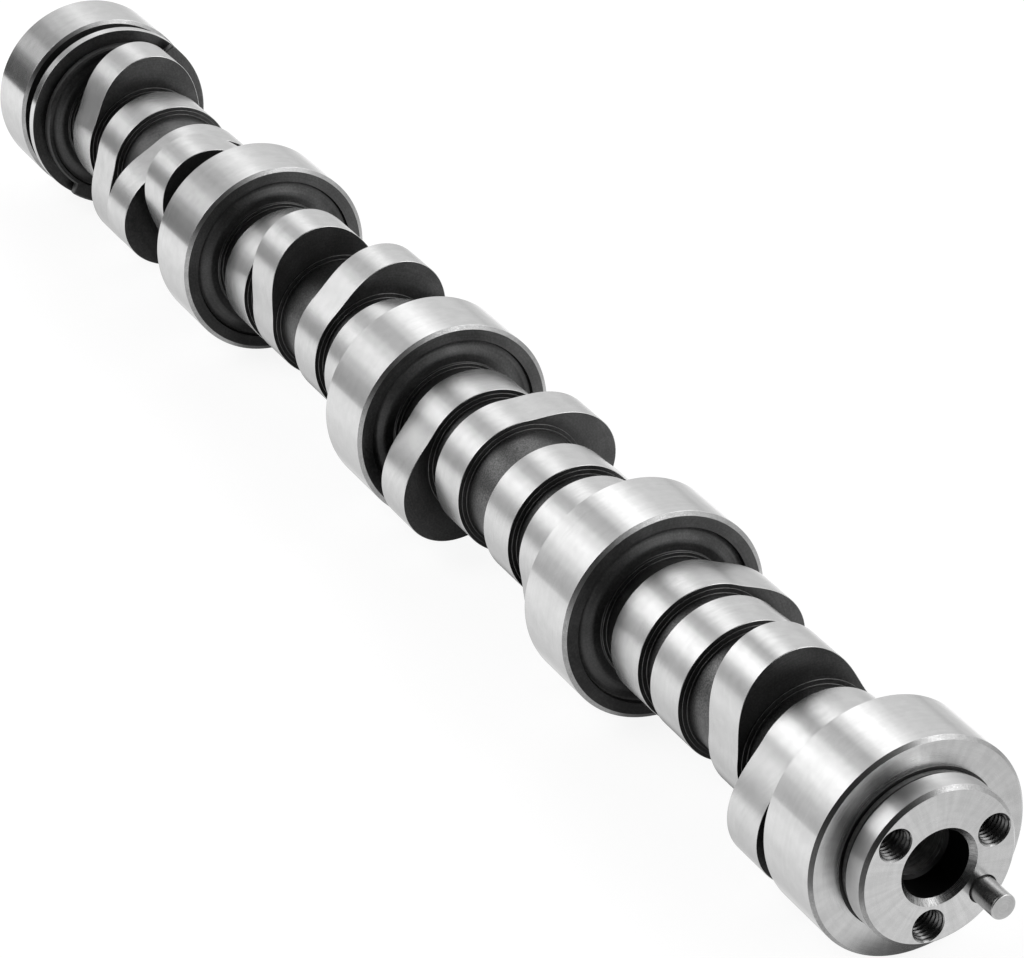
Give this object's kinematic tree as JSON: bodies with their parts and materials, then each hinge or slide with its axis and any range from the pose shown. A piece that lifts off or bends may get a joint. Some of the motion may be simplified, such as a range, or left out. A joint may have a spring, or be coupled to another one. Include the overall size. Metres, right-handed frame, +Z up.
{
  "type": "camshaft",
  "caption": "Billet pushrod-engine camshaft with bearing journals, cam lobes, a half-moon timing ring, and a bolted sprocket face with a dowel.",
  "frame": {"origin": "centre of the front face that the timing sprocket bolts to, on the shaft's axis", "axes": "+X along the shaft's axis, forward out of the front face; +Z up, with the shaft lying level on its journals and the dowel at 322 degrees, counted from +Y towards +Z"},
  "size_m": [0.4943, 0.055, 0.055],
  "materials": {
    "ground_steel": "ground bright on the journals and lobes, dark phosphate on the sides and core",
    "pin_steel": "ground"
  },
  "bodies": {
    "root": {"camshaft": "ground_steel", "dowel_pin": "pin_steel"}
  },
  "joints": []
}
